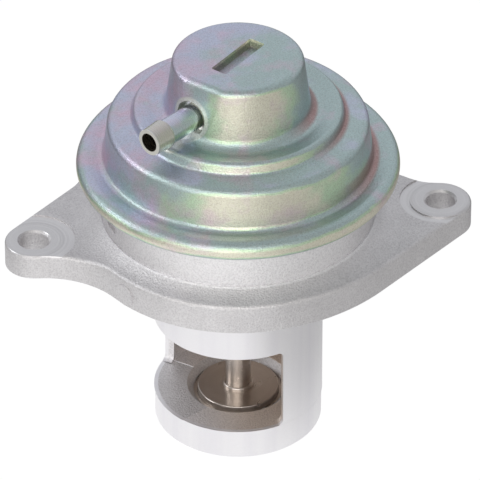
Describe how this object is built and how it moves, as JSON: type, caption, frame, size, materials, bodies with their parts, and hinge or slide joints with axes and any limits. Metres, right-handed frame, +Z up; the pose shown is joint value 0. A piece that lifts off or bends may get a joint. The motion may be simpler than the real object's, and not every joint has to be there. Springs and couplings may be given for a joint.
{
  "type": "egr valve",
  "caption": "Vacuum-operated exhaust gas recirculation valve: a cast flanged body with a windowed barrel and poppet, under a rolled zinc-plated diaphragm capsule with a hose nipple",
  "frame": {"origin": "on the stem's axis, in the flange's mounting face", "axes": "+X along the line of the two bolt holes, towards the ear with straight edges; +Y across it, away from the hose nipple and the gas window; +Z up along the stem, from the mounting face towards the capsule"},
  "size_m": [0.1056, 0.0727, 0.0965],
  "materials": {
    "cast_aluminium": "satin",
    "yellow_zinc": "gloss",
    "zinc_tube": "satin",
    "stem_steel": "satin",
    "pressed_steel": "satin",
    "spring_steel": "satin",
    "bush_bronze": "satin",
    "packing_graphite": "matte",
    "diaphragm_rubber": "matte"
  },
  "bodies": {
    "housing": {"valve_body": "cast_aluminium", "capsule_cap": "yellow_zinc", "vacuum_nipple": "zinc_tube", "nipple_collar": "zinc_tube", "spring_top_seat": "pressed_steel", "return_spring": "spring_steel", "diaphragm": "diaphragm_rubber", "stem_guide_bush": "bush_bronze", "deposit_scraper": "stem_steel", "stem_seal_ring": "packing_graphite", "seal_backing_washer": "pressed_steel", "packing_disc_spring": "spring_steel", "seal_retainer": "pressed_steel", "valve_seat_ring": "stem_steel"},
    "valve": {"valve_stem": "stem_steel", "poppet_disc": "stem_steel", "poppet_collar": "stem_steel", "lower_plate": "pressed_steel", "spring_cup": "pressed_steel", "clamp_washer": "pressed_steel"}
  },
  "joints": [
    {"name": "valve_lift", "type": "slide", "parent": "housing", "child": "valve", "axis": [0, 0, 1], "range_m": [0, 0.0055], "stiffness_N_per_m": 5000, "springref_m": -0.012, "deforming": ["return_spring", "diaphragm"]}
  ]
}
